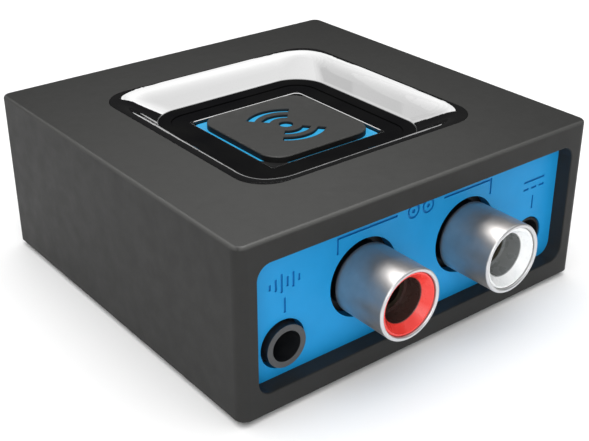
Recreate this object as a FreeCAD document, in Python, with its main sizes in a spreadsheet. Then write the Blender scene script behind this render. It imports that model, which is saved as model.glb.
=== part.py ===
import FreeCAD, Part
import math
import os

import Sketcher

# Bluetooth audio receiver: a square two-part case with a glossy dish and one large button on top, and a
# recessed socket panel on the -Y side. +Z is up, and the origin is the centre of the foot pad's underside.

DIMENSIONS = {
    # gaps between neighbours: parts that sit close, parts that slide, and press seats
    "fit_gap": 0.05,
    "slide_gap": 0.1,
    "seat_gap": 0.02,
    # case
    "case_width": 51.0,
    "case_height": 20.32,
    "case_corner_radius": 1.2,
    "case_edge_round": 0.4,
    "case_wall": 2.0,
    "foot_standoff": 0.8,
    "foot_recess": 0.3,
    "foot_half": 22.3,
    "foot_radius": 3.0,
    "foot_edge_round": 0.3,
    "cover_thickness": 1.5,
    "cover_gap": 0.1,
    "cover_corner_radius": 0.5,
    "cover_post_radius": 2.9,
    "window_half": 23.2,
    "window_bottom": 2.35,
    "window_top": 17.6,
    "window_radius": 1.7,
    "window_edge_round": 0.15,
    "panel_rib": 0.6,
    "panel_rib_depth": 1.0,
    # dish and button
    "dish_half": 16.7,
    "dish_radius": 4.0,
    "dish_slope_half": 15.1,
    "dish_slope_radius": 2.34,
    "dish_depth": 2.52,
    "dish_floor_radius": 5.0,
    "dish_roll": 4.0,
    "dish_cove": 1.2,
    "floor_step_half": 11.0,
    "floor_step_radius": 3.0,
    "floor_step_depth": 0.2,
    "floor_step_round": 0.08,
    "floor_thickness": 1.2,
    "flange_half": 17.7,
    "flange_radius": 5.0,
    "relief_outer": 15.6,
    "relief_inner": 13.4,
    "relief_depth": 0.9,
    "button_hole_half": 8.4,
    "button_hole_radius": 0.8,
    "button_hole_round": 0.12,
    "button_half": 7.7,
    "button_radius": 2.6,
    "button_thickness": 0.8,
    "button_drop": 2.32,
    "button_edge_round": 0.15,
    "glyph_dot_radius": 0.9,
    "glyph_arc_near": 2.6,
    "glyph_arc_far": 4.5,
    "glyph_slot": 1.1,
    "glyph_half_angle": 42.0,
    "glyph_inset": 0.05,
    "glyph_inset_angle": 1.2,
    "glyph_sink": 0.35,
    "diffuser_half": 8.2,
    "diffuser_corner_cut": 3.2,
    "diffuser_relief_left": 6.5,
    "diffuser_relief_right": 5.0,
    "diffuser_relief": 0.6,
    "cap_ear_inset": 0.15,
    "cap_ear_nick": 0.45,
    "cap_ear_depth": 0.6,
    "diffuser_flange_half": 9.4,
    "diffuser_flange": 0.95,
    "diffuser_stem_radius": 1.6,
    "shroud_half": 10.5,
    "shroud_wall": 0.9,
    "guide_lift": 2.0,
    "guide_height": 3.0,
    "guide_radius": 2.9,
    "guide_rib": 1.0,
    # sockets
    "panel_thickness": 1.5,
    "rca_pitch": 15.4,
    "rca_height": 10.0,
    "rca_radius": 4.15,
    "rca_wall": 0.48,
    "rca_neck_radius": 3.85,
    "rca_ring_recess": 0.25,
    "rca_ring_land": 0.25,
    "rca_funnel_depth": 1.3,
    "rca_reach": 30.8,
    "rca_hole_radius": 4.7,
    "rca_pin_bore": 1.65,
    "aux_offset": 18.7,
    "aux_height": 6.1,
    "aux_bore": 1.8,
    "aux_collar_radius": 2.48,
    "aux_hole_radius": 2.86,
    "aux_reach": 24.2,
    "dc_mouth": 2.1,
    "dc_bore": 1.9,
    "dc_pin_radius": 0.65,
    "dc_hole_radius": 2.55,
    "legend_line": 0.28,
    "legend_depth": 0.2,
    "rca_edge_round": 0.21,
    "rca_neck_lead": 0.2,
    "rca_flange": 0.85,
    "rca_flange_depth": 1.0,
    "rca_base_half": 12.7,
    "rca_base_back": 12.0,
    "rca_base_rise": 5.0,
    "insulator_seat": 2.0,
    "insulator_step": 3.4,
    "insulator_relief": 0.45,
    "ring_edge_round": 0.1,
    "contact_wall": 0.5,
    "contact_floor": 1.0,
    "contact_seat": 7.0,
    "contact_setback": 3.5,
    "tail_width": 1.0,
    "tail_depth": 0.6,
    "aux_half": 3.3,
    "aux_back": 10.5,
    "aux_bore_back": 11.5,
    "dc_half": 3.0,
    "dc_back": 10.0,
    "dc_wall": 0.3,
    "dc_floor": 2.0,
    "dc_mouth_depth": 2.4,
    "dc_mouth_lead": 0.1,
    "dc_pin_setback": 0.3,
    "leaf_sheet": 0.3,
    "leaf_toe": 0.6,
    "leaf_drop": 1.0,
    "leaf_width": 1.6,
    "dc_leaf_width": 2.0,
    # board and fasteners
    "board_thickness": 1.2,
    "board_half": 22.8,
    "board_front": 21.5,
    "board_standoff": 0.7,
    "boss_across": 20.1,
    "boss_rear": 19.0,
    "boss_front": -6.5,
    "boss_radius": 2.1,
    "spigot_radius": 1.5,
    "pilot_radius": 0.85,
    "screw_head_radius": 1.9,
    "screw_head_height": 0.9,
    "screw_length": 7.0,
    "screw_slot": 0.44,
    "screw_slot_reach": 1.1,
    "screw_slot_depth": 0.5,
    "switch_half": 3.0,
    "switch_floor": 0.6,
    "switch_rim": 3.4,
    "switch_height": 5.0,
    "switch_sheet": 0.3,
    "switch_skirt_half": 2.5,
    "dome_radius": 2.2,
    "dome_height": 0.6,
    "dome_sheet": 0.1,
    "plunger_rest": 0.03,
    "switch_stem_radius": 1.7,
    "lamp_spot": 6.3,
    "lamp_width": 3.5,
    "lamp_depth": 2.8,
    "lamp_height": 1.9,
    "lamp_cup_radius": 1.2,
    "lamp_cup_depth": 0.4,
    "can_corner_radius": 0.8,
    "can_height": 2.2,
    "can_sheet": 0.3,
    "capacitor_foot_half": 2.15,
    "capacitor_foot_height": 0.6,
    "capacitor_radius": 2.0,
    "capacitor_height": 4.8,
}

NEAR = 1e-4

doc = FreeCAD.newDocument("audio_receiver")
sheet = doc.addObject("Spreadsheet::Sheet", "Dimensions")
PIECES = []


class Size:
    """A length with the spreadsheet expression that it comes from."""

    def __init__(self, value, text):
        self.value = value
        self.text = text

    @staticmethod
    def of(other):
        return other if isinstance(other, Size) else Size(float(other), repr(float(other)))

    def join(self, other, sign, value):
        return Size(value, "(" + self.text + " " + sign + " " + Size.of(other).text + ")")

    def __add__(self, other):
        return self.join(other, "+", self.value + Size.of(other).value)

    def __sub__(self, other):
        return self.join(other, "-", self.value - Size.of(other).value)

    def __mul__(self, other):
        return self.join(other, "*", self.value * Size.of(other).value)

    def __truediv__(self, other):
        return self.join(other, "/", self.value / Size.of(other).value)

    def __neg__(self):
        return Size(-self.value, "(0 - " + self.text + ")")

    def __radd__(self, other):
        return Size.of(other) + self

    def __rsub__(self, other):
        return Size.of(other) - self


def fill_sheet():
    for row, (alias, value) in enumerate(DIMENSIONS.items(), start=1):
        sheet.set("A%d" % row, alias)
        sheet.set("B%d" % row, repr(value))
        sheet.setAlias("B%d" % row, alias)
    doc.recompute()


def dim(alias):
    return Size(DIMENSIONS[alias], "Dimensions." + alias)


def bind(thing, prop, size):
    thing.setExpression(prop, Size.of(size).text)


def place(thing, spot):
    for axis, size in zip("xyz", spot):
        bind(thing, "Placement.Base." + axis, size)


def keep(piece, node):
    """Names a finished sub-part and lists it for export."""
    piece.Label = node
    PIECES.append(piece)
    return piece


# Part primitives and booleans


def block(name, across, deep, high):
    """A box between the two ends given along X, Y and Z."""
    box = doc.addObject("Part::Box", name)
    ends = [[Size.of(end) for end in pair] for pair in (across, deep, high)]
    for prop, (low, top) in zip(("Length", "Width", "Height"), ends):
        bind(box, prop, top - low)
    place(box, [low for low, top in ends])
    return box


def rod(name, radius, spot, length, forward=False):
    """A cylinder that rises from spot, or runs from it towards -Y."""
    cylinder = doc.addObject("Part::Cylinder", name)
    if forward:
        cylinder.Placement.Rotation = FreeCAD.Rotation(FreeCAD.Vector(1, 0, 0), 90)
    bind(cylinder, "Radius", radius)
    bind(cylinder, "Height", length)
    place(cylinder, spot)
    return cylinder


def fuse(name, things):
    union = doc.addObject("Part::MultiFuse", name)
    union.Shapes = things
    return union


def cut(name, base, tools):
    result = doc.addObject("Part::Cut", name)
    result.Base = base
    result.Tool = tools[0] if len(tools) == 1 else fuse(name + "_tools", tools)
    return result


# Sketches and PartDesign features


def new_body(name, spot=(0, 0, 0)):
    body = doc.addObject("PartDesign::Body", name)
    place(body, spot)
    return body


def sketch_on(body, name, role, offset=0):
    """A sketch on one of the body's own origin planes, moved along the plane's normal."""
    sketch = body.newObject("Sketcher::SketchObject", name)
    plane = [item for item in body.Origin.OriginFeatures if item.Role == role][0]
    sketch.AttachmentSupport = [(plane, "")]
    sketch.MapMode = "FlatFace"
    bind(sketch, "AttachmentOffset.Base.z", offset)
    return sketch


def constrain(sketch, kind, *items):
    """Adds a constraint; a Size at the end becomes its expression."""
    if not isinstance(items[-1], Size):
        return sketch.addConstraint(Sketcher.Constraint(kind, *items))
    number = sketch.addConstraint(Sketcher.Constraint(kind, *items[:-1], items[-1].value))
    bind(sketch, "Constraints[%d]" % number, items[-1])
    return number


def fix_point(sketch, line, end, across, up):
    constrain(sketch, "DistanceX", -1, 1, line, end, Size.of(across))
    constrain(sketch, "DistanceY", -1, 1, line, end, Size.of(up))


def draw_circle(sketch, across, up, radius):
    across, up, radius = Size.of(across), Size.of(up), Size.of(radius)
    centre = FreeCAD.Vector(across.value, up.value, 0)
    ring = sketch.addGeometry(Part.Circle(centre, FreeCAD.Vector(0, 0, 1), radius.value))
    constrain(sketch, "Radius", ring, radius)
    fix_point(sketch, ring, 3, across, up)


def draw_polygon(sketch, points):
    """A closed outline of straight lines through points that are each tied to the sheet."""
    points = [(Size.of(across), Size.of(up)) for across, up in points]
    corners = [FreeCAD.Vector(across.value, up.value, 0) for across, up in points]
    lines = []
    for start, end in zip(corners, corners[1:] + corners[:1]):
        lines.append(sketch.addGeometry(Part.LineSegment(start, end)))
    for line, following in zip(lines, lines[1:] + lines[:1]):
        constrain(sketch, "Coincident", line, 2, following, 1)
    for line, (across, up) in zip(lines, points):
        fix_point(sketch, line, 1, across, up)


def draw_rectangle(sketch, across, up):
    left, right = across
    bottom, top = up
    draw_polygon(sketch, [(left, bottom), (right, bottom), (right, top), (left, top)])


def draw_rounded(sketch, across, up, radius):
    """A rectangle with four equal round corners."""
    left, right = [Size.of(end) for end in across]
    bottom, top = [Size.of(end) for end in up]
    bend = radius.value
    inner = [(right.value - bend, bottom.value + bend), (right.value - bend, top.value - bend)]
    inner += [(left.value + bend, top.value - bend), (left.value + bend, bottom.value + bend)]
    arcs = []
    for turn, (x, y) in enumerate(inner):
        circle = Part.Circle(FreeCAD.Vector(x, y, 0), FreeCAD.Vector(0, 0, 1), bend)
        start = (turn - 1) * math.pi / 2
        arcs.append(Part.ArcOfCircle(circle, start, start + math.pi / 2))
    lines = []
    for before, after in zip(arcs[-1:] + arcs[:-1], arcs):
        lines.append(Part.LineSegment(before.EndPoint, after.StartPoint))
    line_ids = [sketch.addGeometry(line) for line in lines]
    arc_ids = [sketch.addGeometry(arc) for arc in arcs]
    for turn in range(4):
        constrain(sketch, "Tangent", line_ids[turn], 2, arc_ids[turn], 1)
        constrain(sketch, "Tangent", arc_ids[turn], 2, line_ids[(turn + 1) % 4], 1)
        constrain(sketch, "Vertical" if turn % 2 else "Horizontal", line_ids[turn])
    for turn in range(3):
        constrain(sketch, "Equal", arc_ids[turn], arc_ids[turn + 1])
    constrain(sketch, "Radius", arc_ids[0], radius)
    constrain(sketch, "DistanceY", -1, 1, line_ids[0], 1, bottom)
    constrain(sketch, "DistanceX", -1, 1, line_ids[1], 1, right)
    constrain(sketch, "DistanceY", -1, 1, line_ids[2], 1, top)
    constrain(sketch, "DistanceX", -1, 1, line_ids[3], 1, left)


def draw_square(sketch, half, radius=None):
    if radius is None:
        draw_rectangle(sketch, (-half, half), (-half, half))
    else:
        draw_rounded(sketch, (-half, half), (-half, half), radius)


def draw_arc_slot(sketch, middle_radius, width, half_angle, heading):
    """A slot along an arc about the sketch's origin, centred on the heading in degrees."""
    radii = [middle_radius - width / 2, middle_radius + width / 2]
    ends = [heading - half_angle, heading + half_angle]
    angles = [math.radians(end.value) for end in ends]
    arcs = []
    for radius in radii:
        circle = Part.Circle(FreeCAD.Vector(0, 0, 0), FreeCAD.Vector(0, 0, 1), radius.value)
        arcs.append(sketch.addGeometry(Part.ArcOfCircle(circle, angles[0], angles[1])))
    for arc, radius in zip(arcs, radii):
        constrain(sketch, "Coincident", arc, 3, -1, 1)
        constrain(sketch, "Radius", arc, radius)
    for end, angle, size in zip((1, 2), angles, ends):
        ray = FreeCAD.Vector(math.cos(angle), math.sin(angle), 0)
        line = sketch.addGeometry(Part.LineSegment(ray * radii[0].value, ray * radii[1].value))
        constrain(sketch, "Coincident", line, 1, arcs[0], end)
        constrain(sketch, "Coincident", line, 2, arcs[1], end)
        number = constrain(sketch, "Angle", line, math.radians(size.value))
        sketch.setExpression("Constraints[%d]" % number, size.text + " * 1 deg")


def check_growth(body, before, grows, name):
    doc.recompute()
    change = body.Shape.Volume - before
    if (change > 0) != grows or abs(change) < NEAR:
        raise RuntimeError("%s changed the volume of %s by %.4f" % (name, body.Name, change))


def extrude(body, sketch, length, kind, flip):
    doc.recompute()
    before = body.Shape.Volume if body.Tip and not body.Shape.isNull() else 0.0
    feature = body.newObject("PartDesign::" + kind, sketch.Name + "_" + kind.lower())
    feature.Profile = sketch
    bind(feature, "Length", length)
    feature.Reversed = flip
    check_growth(body, before, kind == "Pad", feature.Name)
    return feature


def pad(body, sketch, length, flip=False):
    """Adds the sketch's prism on the side that the plane's normal points to."""
    return extrude(body, sketch, length, "Pad", flip)


def pocket(body, sketch, depth, flip=False):
    """Removes the sketch's prism on the side away from the plane's normal."""
    return extrude(body, sketch, depth, "Pocket", flip)


def edges_where(feature, test):
    found = []
    for number, edge in enumerate(feature.Shape.Edges, start=1):
        if test(edge.BoundBox, edge):
            found.append("Edge%d" % number)
    return found


def dress(body, kind, base, edges, size):
    """A Fillet or Chamfer of one size on the named edges of the body's last feature."""
    feature = body.newObject("PartDesign::" + kind, base.Name + "_" + kind.lower())
    feature.Base = (base, edges)
    bind(feature, "Radius" if kind == "Fillet" else "Size", size)
    doc.recompute()
    return feature


def level(height, reach=None):
    """Edges that lie wholly at one height and, where a reach is given, nearer to the middle than it."""

    def test(box, edge):
        near = reach is None or max(box.XMax, box.YMax, -box.XMin, -box.YMin) < reach.value
        return near and abs(box.ZMin - height.value) < NEAR and abs(box.ZMax - height.value) < NEAR

    return test


def forward_level(depth):
    """Edges that lie wholly in one plane across Y."""
    return lambda box, edge: abs(box.YMin - depth.value) < NEAR and abs(box.YMax - depth.value) < NEAR


def front_edge(depth, up):
    """Edges in one plane across Y whose middle lies between two heights or on one of them."""
    plane = forward_level(depth)
    low, high = [size.value for size in up]
    return lambda box, edge: plane(box, edge) and low - NEAR <= box.Center.z <= high + NEAR


def revolve(body, name, points):
    """A solid of revolution about the body's Y axis, from (y, radius) points."""
    sketch = sketch_on(body, name, "YZ_Plane")
    draw_polygon(sketch, points)
    turn = body.newObject("PartDesign::Revolution", name + "_turn")
    turn.Profile = sketch
    turn.ReferenceAxis = (sketch, ["H_Axis"])
    turn.Angle = 360.0
    doc.recompute()
    return turn


fill_sheet()

# Heights and depths that several sub-parts share
case_half = dim("case_width") / 2
case_bottom = dim("foot_standoff")
case_top = case_bottom + dim("case_height")
ceiling = case_top - dim("case_wall")
cavity_half = case_half - dim("case_wall")
cover_top = case_bottom + dim("cover_thickness")
board_bottom = cover_top + dim("board_standoff")
board_top = board_bottom + dim("board_thickness")
dish_floor = case_top - dim("dish_depth")
bezel_bottom = dish_floor - dim("floor_step_depth") - dim("floor_thickness")
button_top = case_top - dim("button_drop")
button_bottom = button_top - dim("button_thickness")
panel_front = -cavity_half
panel_back = panel_front + dim("panel_thickness")
socket_front = panel_back + dim("fit_gap")
rca_axis = case_bottom + dim("rca_height")
socket_axis = case_bottom + dim("aux_height")
socket_top = socket_axis + (socket_axis - board_top)
spigot_bottom = board_bottom + dim("fit_gap")
SIDES = {"left": -1.0, "right": 1.0}
BOSS_ROWS = ("boss_front", "boss_rear")
BOSSES = [(dim("boss_across") * way, dim(row)) for way in SIDES.values() for row in BOSS_ROWS]


def draw_bosses(sketch, radius):
    for across, row in BOSSES:
        draw_circle(sketch, across, row, radius)


# Case


def make_main_housing():
    """The top and four walls in one moulding, with the window in front and four screw bosses."""
    body = new_body("main_housing")
    outline = sketch_on(body, "housing_outline", "XY_Plane", case_bottom)
    draw_square(outline, case_half, dim("case_corner_radius"))
    shell = pad(body, outline, dim("case_height"))
    dress(body, "Fillet", shell, edges_where(shell, level(case_top)), dim("case_edge_round"))
    cavity = sketch_on(body, "housing_cavity", "XY_Plane", case_bottom)
    draw_square(cavity, cavity_half)
    pocket(body, cavity, dim("case_height") - dim("case_wall"), flip=True)
    opening = sketch_on(body, "housing_dish_opening", "XY_Plane", case_top)
    draw_square(opening, dim("dish_half"), dim("dish_radius"))
    pocket(body, opening, dim("case_wall"))
    window = sketch_on(body, "housing_window", "XZ_Plane", case_half)
    across = (-dim("window_half"), dim("window_half"))
    up = (case_bottom + dim("window_bottom"), case_bottom + dim("window_top"))
    draw_rounded(window, across, up, dim("window_radius"))
    opened = pocket(body, window, dim("case_wall"))
    rim = edges_where(opened, front_edge(-case_half, up))
    dress(body, "Fillet", opened, rim, dim("window_edge_round"))
    bosses = sketch_on(body, "housing_bosses", "XY_Plane", board_top)
    draw_bosses(bosses, dim("boss_radius"))
    pad(body, bosses, ceiling - board_top)
    spigots = sketch_on(body, "housing_spigots", "XY_Plane", spigot_bottom)
    draw_bosses(spigots, dim("spigot_radius"))
    pad(body, spigots, board_top - spigot_bottom)
    pilots = sketch_on(body, "housing_pilots", "XY_Plane", spigot_bottom)
    draw_bosses(pilots, dim("pilot_radius"))
    pocket(body, pilots, dim("screw_length"), flip=True)
    rib_bottom = board_top + dim("slide_gap") * 3
    rib_front = panel_back + dim("slide_gap")
    rib_inner = cavity_half - dim("panel_rib")
    deep = (rib_front, rib_front + dim("panel_rib_depth"))
    ribs = sketch_on(body, "housing_panel_ribs", "XY_Plane", rib_bottom)
    draw_rectangle(ribs, (-cavity_half, -rib_inner), deep)
    draw_rectangle(ribs, (rib_inner, cavity_half), deep)
    pad(body, ribs, ceiling - rib_bottom)
    keep(body, "main_housing")


def make_base_cover():
    """The flat underside, let into the walls, with pads under the board and counterbored holes."""
    body = new_body("base_cover")
    plate = sketch_on(body, "cover_plate", "XY_Plane", case_bottom)
    draw_square(plate, cavity_half - dim("cover_gap"), dim("cover_corner_radius"))
    pad(body, plate, dim("cover_thickness"))
    posts = sketch_on(body, "cover_posts", "XY_Plane", cover_top)
    draw_bosses(posts, dim("cover_post_radius"))
    pad(body, posts, dim("board_standoff"))
    recess = sketch_on(body, "cover_foot_recess", "XY_Plane", case_bottom)
    draw_square(recess, dim("foot_half") + dim("slide_gap"), dim("foot_radius") + dim("slide_gap"))
    pocket(body, recess, dim("foot_recess"), flip=True)
    head_room = dim("screw_head_height") + dim("slide_gap")
    sinks = sketch_on(body, "cover_counterbores", "XY_Plane", case_bottom + dim("foot_recess"))
    draw_bosses(sinks, dim("screw_head_radius") + dim("slide_gap"))
    pocket(body, sinks, head_room, flip=True)
    holes = sketch_on(body, "cover_screw_holes", "XY_Plane", case_bottom + dim("foot_recess"))
    draw_bosses(holes, dim("pilot_radius") + dim("slide_gap") * 2)
    pocket(body, holes, board_bottom - case_bottom, flip=True)
    keep(body, "base_cover")


def make_foot_pad():
    """One soft pad over the whole underside; it hides the screws."""
    body = new_body("foot_pad")
    outline = sketch_on(body, "foot_outline", "XY_Plane")
    draw_square(outline, dim("foot_half"), dim("foot_radius"))
    slab = pad(body, outline, case_bottom + dim("foot_recess"))
    dress(body, "Fillet", slab, edges_where(slab, level(Size.of(0))), dim("foot_edge_round"))
    keep(body, "foot_pad")


def make_housing_screws():
    """Four self-tapping screws, from below into the housing's bosses."""
    head_top = case_bottom + dim("foot_recess") + dim("screw_head_height") + dim("slide_gap")
    head_bottom = head_top - dim("screw_head_height")
    slot_half = dim("screw_slot") / 2
    slot_reach = dim("screw_slot_reach")
    screws = []
    for number, (across, row) in enumerate(BOSSES, start=1):
        name = "screw_%d" % number
        head_height = dim("screw_head_height")
        head = rod(name + "_head", dim("screw_head_radius"), (across, row, head_bottom), head_height)
        shank = rod(name + "_shank", dim("pilot_radius"), (across, row, head_top), dim("screw_length"))
        high = (head_bottom, head_bottom + dim("screw_slot_depth"))
        wide = (across - slot_reach, across + slot_reach)
        narrow = (across - slot_half, across + slot_half)
        cross = [
            block(name + "_slot_a", wide, (row - slot_half, row + slot_half), high),
            block(name + "_slot_b", narrow, (row - slot_reach, row + slot_reach), high),
        ]
        screws.append(cut(name, fuse(name + "_blank", [head, shank]), cross))
    group = doc.addObject("Part::Compound", "housing_screws")
    group.Links = screws
    keep(group, "housing_screws")


# Dish and button


def make_dish_bezel():
    """The glossy dish: a rolled rim, walls at 45 degrees, a coved floor and the button's opening."""
    body = new_body("dish_bezel")
    blank = sketch_on(body, "bezel_blank", "XY_Plane", bezel_bottom)
    draw_square(blank, dim("flange_half"), dim("flange_radius"))
    pad(body, blank, case_top - bezel_bottom)
    rim = sketch_on(body, "bezel_slope_top", "XY_Plane", case_top)
    draw_square(rim, dim("dish_slope_half"), dim("dish_slope_radius"))
    floor = sketch_on(body, "bezel_slope_foot", "XY_Plane", dish_floor)
    draw_square(floor, dim("dish_slope_half") - dim("dish_depth"), dim("dish_floor_radius"))
    doc.recompute()
    slope = body.newObject("PartDesign::SubtractiveLoft", "bezel_slope")
    slope.Profile = rim
    slope.Sections = [floor]
    slope.Ruled = True
    doc.recompute()
    mouth = dim("dish_half")
    roll = dress(body, "Fillet", slope, edges_where(slope, level(case_top, mouth)), dim("dish_roll"))
    dress(body, "Fillet", roll, edges_where(roll, level(dish_floor, mouth)), dim("dish_cove"))
    trim = sketch_on(body, "bezel_neck_trim", "XY_Plane", case_top)
    draw_square(trim, case_half)
    draw_square(trim, dim("dish_half") - dim("fit_gap"), dim("dish_radius") - dim("fit_gap"))
    pocket(body, trim, dim("case_wall"))
    step = sketch_on(body, "bezel_floor_step", "XY_Plane", dish_floor)
    draw_square(step, dim("floor_step_half"), dim("floor_step_radius"))
    step_cut = pocket(body, step, dim("floor_step_depth"))
    step_edges = edges_where(step_cut, level(dish_floor, dim("floor_step_half") + dim("fit_gap")))
    dress(body, "Fillet", step_cut, step_edges, dim("floor_step_round"))
    hole = sketch_on(body, "bezel_button_hole", "XY_Plane", dish_floor)
    draw_square(hole, dim("button_hole_half"), dim("button_hole_radius"))
    opened = pocket(body, hole, dish_floor - bezel_bottom)
    hole_mouth = level(dish_floor - dim("floor_step_depth"), dim("button_hole_half") + dim("fit_gap"))
    dress(body, "Fillet", opened, edges_where(opened, hole_mouth), dim("button_hole_round"))
    relief = sketch_on(body, "bezel_relief", "XY_Plane", bezel_bottom)
    draw_square(relief, dim("relief_outer"), dim("dish_radius"))
    draw_square(relief, dim("relief_inner"), dim("dish_radius"))
    pocket(body, relief, dim("relief_depth"), flip=True)
    keep(body, "dish_bezel")


def draw_sign(sketch, inset, inset_angle):
    """A broadcast sign: a dot between two pairs of arcs, drawn smaller by the inset."""
    draw_circle(sketch, 0, 0, dim("glyph_dot_radius") - inset)
    for radius in (dim("glyph_arc_near"), dim("glyph_arc_far")):
        for heading in (90.0, 270.0):
            width = dim("glyph_slot") - inset * 2
            draw_arc_slot(sketch, radius, width, dim("glyph_half_angle") - inset_angle, Size.of(heading))


def make_button_cap():
    """The square cap, cut through with the sign, with an ear below its front and its back corner."""
    body = new_body("button_cap")
    outline = sketch_on(body, "cap_outline", "XY_Plane", button_bottom)
    draw_square(outline, dim("button_half"), dim("button_radius"))
    slab = pad(body, outline, dim("button_thickness"))
    dress(body, "Fillet", slab, edges_where(slab, level(button_top)), dim("button_edge_round"))
    sign = sketch_on(body, "cap_sign", "XY_Plane", button_top)
    draw_sign(sign, Size.of(0), Size.of(0))
    pocket(body, sign, dim("button_thickness"))
    ears = sketch_on(body, "cap_ears", "XY_Plane", button_bottom)
    outer = dim("diffuser_half")
    nick = outer - dim("cap_ear_nick")
    inner = outer - dim("diffuser_corner_cut") + dim("cap_ear_inset")
    ear = [(outer, inner), (outer, nick), (nick, outer), (inner, outer)]
    draw_polygon(ears, ear)
    draw_polygon(ears, [(-across, -up) for across, up in ear])
    pad(body, ears, dim("cap_ear_depth"), flip=True)
    keep(body, "button_cap")


def make_button_diffuser():
    """The translucent carrier: its sign fills the cap's, and its flange stops under the dish."""
    body = new_body("button_diffuser")
    flange_top = bezel_bottom - dim("fit_gap")
    flange_bottom = flange_top - dim("diffuser_flange")
    flange = sketch_on(body, "diffuser_flange_outline", "XY_Plane", flange_bottom)
    draw_square(flange, dim("diffuser_flange_half"), dim("button_hole_radius"))
    pad(body, flange, dim("diffuser_flange"))
    boss = sketch_on(body, "diffuser_boss", "XY_Plane", flange_top)
    draw_square(boss, dim("diffuser_half"), dim("button_hole_radius"))
    pad(body, boss, button_bottom - flange_top)
    corners = sketch_on(body, "diffuser_corners", "XY_Plane", button_bottom)
    outer = dim("button_hole_half")
    cut_end = dim("diffuser_half") * 2 - dim("diffuser_corner_cut") - outer
    draw_polygon(corners, [(outer, outer), (cut_end, outer), (outer, cut_end)])
    draw_polygon(corners, [(-outer, -outer), (-cut_end, -outer), (-outer, -cut_end)])
    pocket(body, corners, button_bottom - flange_top)
    relief = sketch_on(body, "diffuser_front_relief", "XY_Plane", button_bottom)
    deep = (-outer, dim("diffuser_relief") - dim("diffuser_half"))
    draw_rectangle(relief, (-dim("diffuser_relief_left"), dim("diffuser_relief_right")), deep)
    pocket(body, relief, button_bottom - flange_top)
    sign = sketch_on(body, "diffuser_sign", "XY_Plane", button_bottom)
    draw_sign(sign, dim("glyph_inset"), dim("glyph_inset_angle"))
    pad(body, sign, dim("button_thickness") - dim("glyph_sink"))
    stem = sketch_on(body, "diffuser_stem", "XY_Plane", flange_bottom)
    draw_circle(stem, 0, 0, dim("diffuser_stem_radius"))
    pad(body, stem, flange_bottom - switch_top - dim("fit_gap"), flip=True)
    keep(body, "button_diffuser")


def make_light_shroud():
    """The white square tube that keeps the lamps' light in and guides the button's stem."""
    body = new_body("light_shroud")
    tube = sketch_on(body, "shroud_tube", "XY_Plane", board_top)
    inner_half = dim("shroud_half") - dim("shroud_wall")
    draw_square(tube, dim("shroud_half"))
    draw_square(tube, inner_half)
    pad(body, tube, bezel_bottom - board_top - dim("fit_gap"))
    guide_low = switch_top + dim("guide_lift")
    guide_height = dim("guide_height")
    guide = sketch_on(body, "shroud_guide", "XY_Plane", guide_low)
    draw_circle(guide, 0, 0, dim("guide_radius"))
    rib_half = dim("guide_rib") / 2
    rib_end = dim("shroud_half") - dim("shroud_wall") / 2
    cross = sketch_on(body, "shroud_cross", "XY_Plane", guide_low)
    draw_rectangle(cross, (-rib_end, rib_end), (-rib_half, rib_half))
    pad(body, cross, guide_height)
    pad(body, guide, guide_height)
    bore = sketch_on(body, "shroud_bore", "XY_Plane", guide_low + guide_height)
    draw_circle(bore, 0, 0, dim("diffuser_stem_radius") + dim("slide_gap"))
    pocket(body, bore, guide_height)
    keep(body, "light_shroud")


# Switch under the button

switch_floor = board_top + dim("switch_floor")
switch_rim = board_top + dim("switch_rim")
switch_top = board_top + dim("switch_height")
dome_bottom = switch_floor + dim("fit_gap")
dome_top = dome_bottom + dim("dome_height")


def make_switch():
    """A tactile switch: base, snap dome, plunger and the metal frame that holds the plunger in."""
    half = dim("switch_half")
    base = block("switch_block", (-half, half), (-half, half), (board_top, switch_rim))
    well_radius = dim("dome_radius") + dim("slide_gap")
    well = rod("switch_well", well_radius, (0, 0, switch_floor), switch_rim - switch_floor)
    keep(cut("switch_base", base, [well]), "switch_base")

    dome = doc.addObject("Part::Feature", "switch_dome")
    sheet_metal = dim("dome_sheet").value
    rise = dim("dome_height").value - sheet_metal
    ball = (dim("dome_radius").value ** 2 + rise ** 2) / (2 * rise)
    centre = FreeCAD.Vector(0, 0, dome_bottom.value + rise - ball)
    snap = Part.makeSphere(ball + sheet_metal, centre).cut(Part.makeSphere(ball, centre))
    foot = FreeCAD.Vector(0, 0, dome_bottom.value)
    dome.Shape = snap.common(Part.makeCylinder(dim("dome_radius").value, 2 * rise, foot))
    keep(dome, "switch_dome")

    collar_bottom = dome_top + dim("plunger_rest")
    collar_height = switch_rim - dim("fit_gap") - collar_bottom
    collar_radius = dim("dome_radius") - dim("slide_gap")
    collar = rod("plunger_collar", collar_radius, (0, 0, collar_bottom), collar_height)
    stem = rod("plunger_stem", dim("switch_stem_radius"), (0, 0, collar_bottom), switch_top - collar_bottom)
    keep(fuse("switch_plunger", [collar, stem]), "switch_plunger")

    lid_top = switch_rim + dim("switch_sheet")
    lid = block("frame_lid", (-half, half), (-half, half), (switch_rim, lid_top))
    hole_radius = dim("switch_stem_radius") + dim("slide_gap")
    hole = rod("frame_hole", hole_radius, (0, 0, switch_rim), dim("switch_sheet"))
    skirt_outer = half + dim("switch_sheet")
    deep = (-dim("switch_skirt_half"), dim("switch_skirt_half"))
    skirts = [
        block("frame_skirt_left", (-skirt_outer, -half), deep, (board_top, lid_top)),
        block("frame_skirt_right", (half, skirt_outer), deep, (board_top, lid_top)),
    ]
    keep(cut("switch_frame", fuse("frame_blank", [lid] + skirts), [hole]), "switch_frame")


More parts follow.
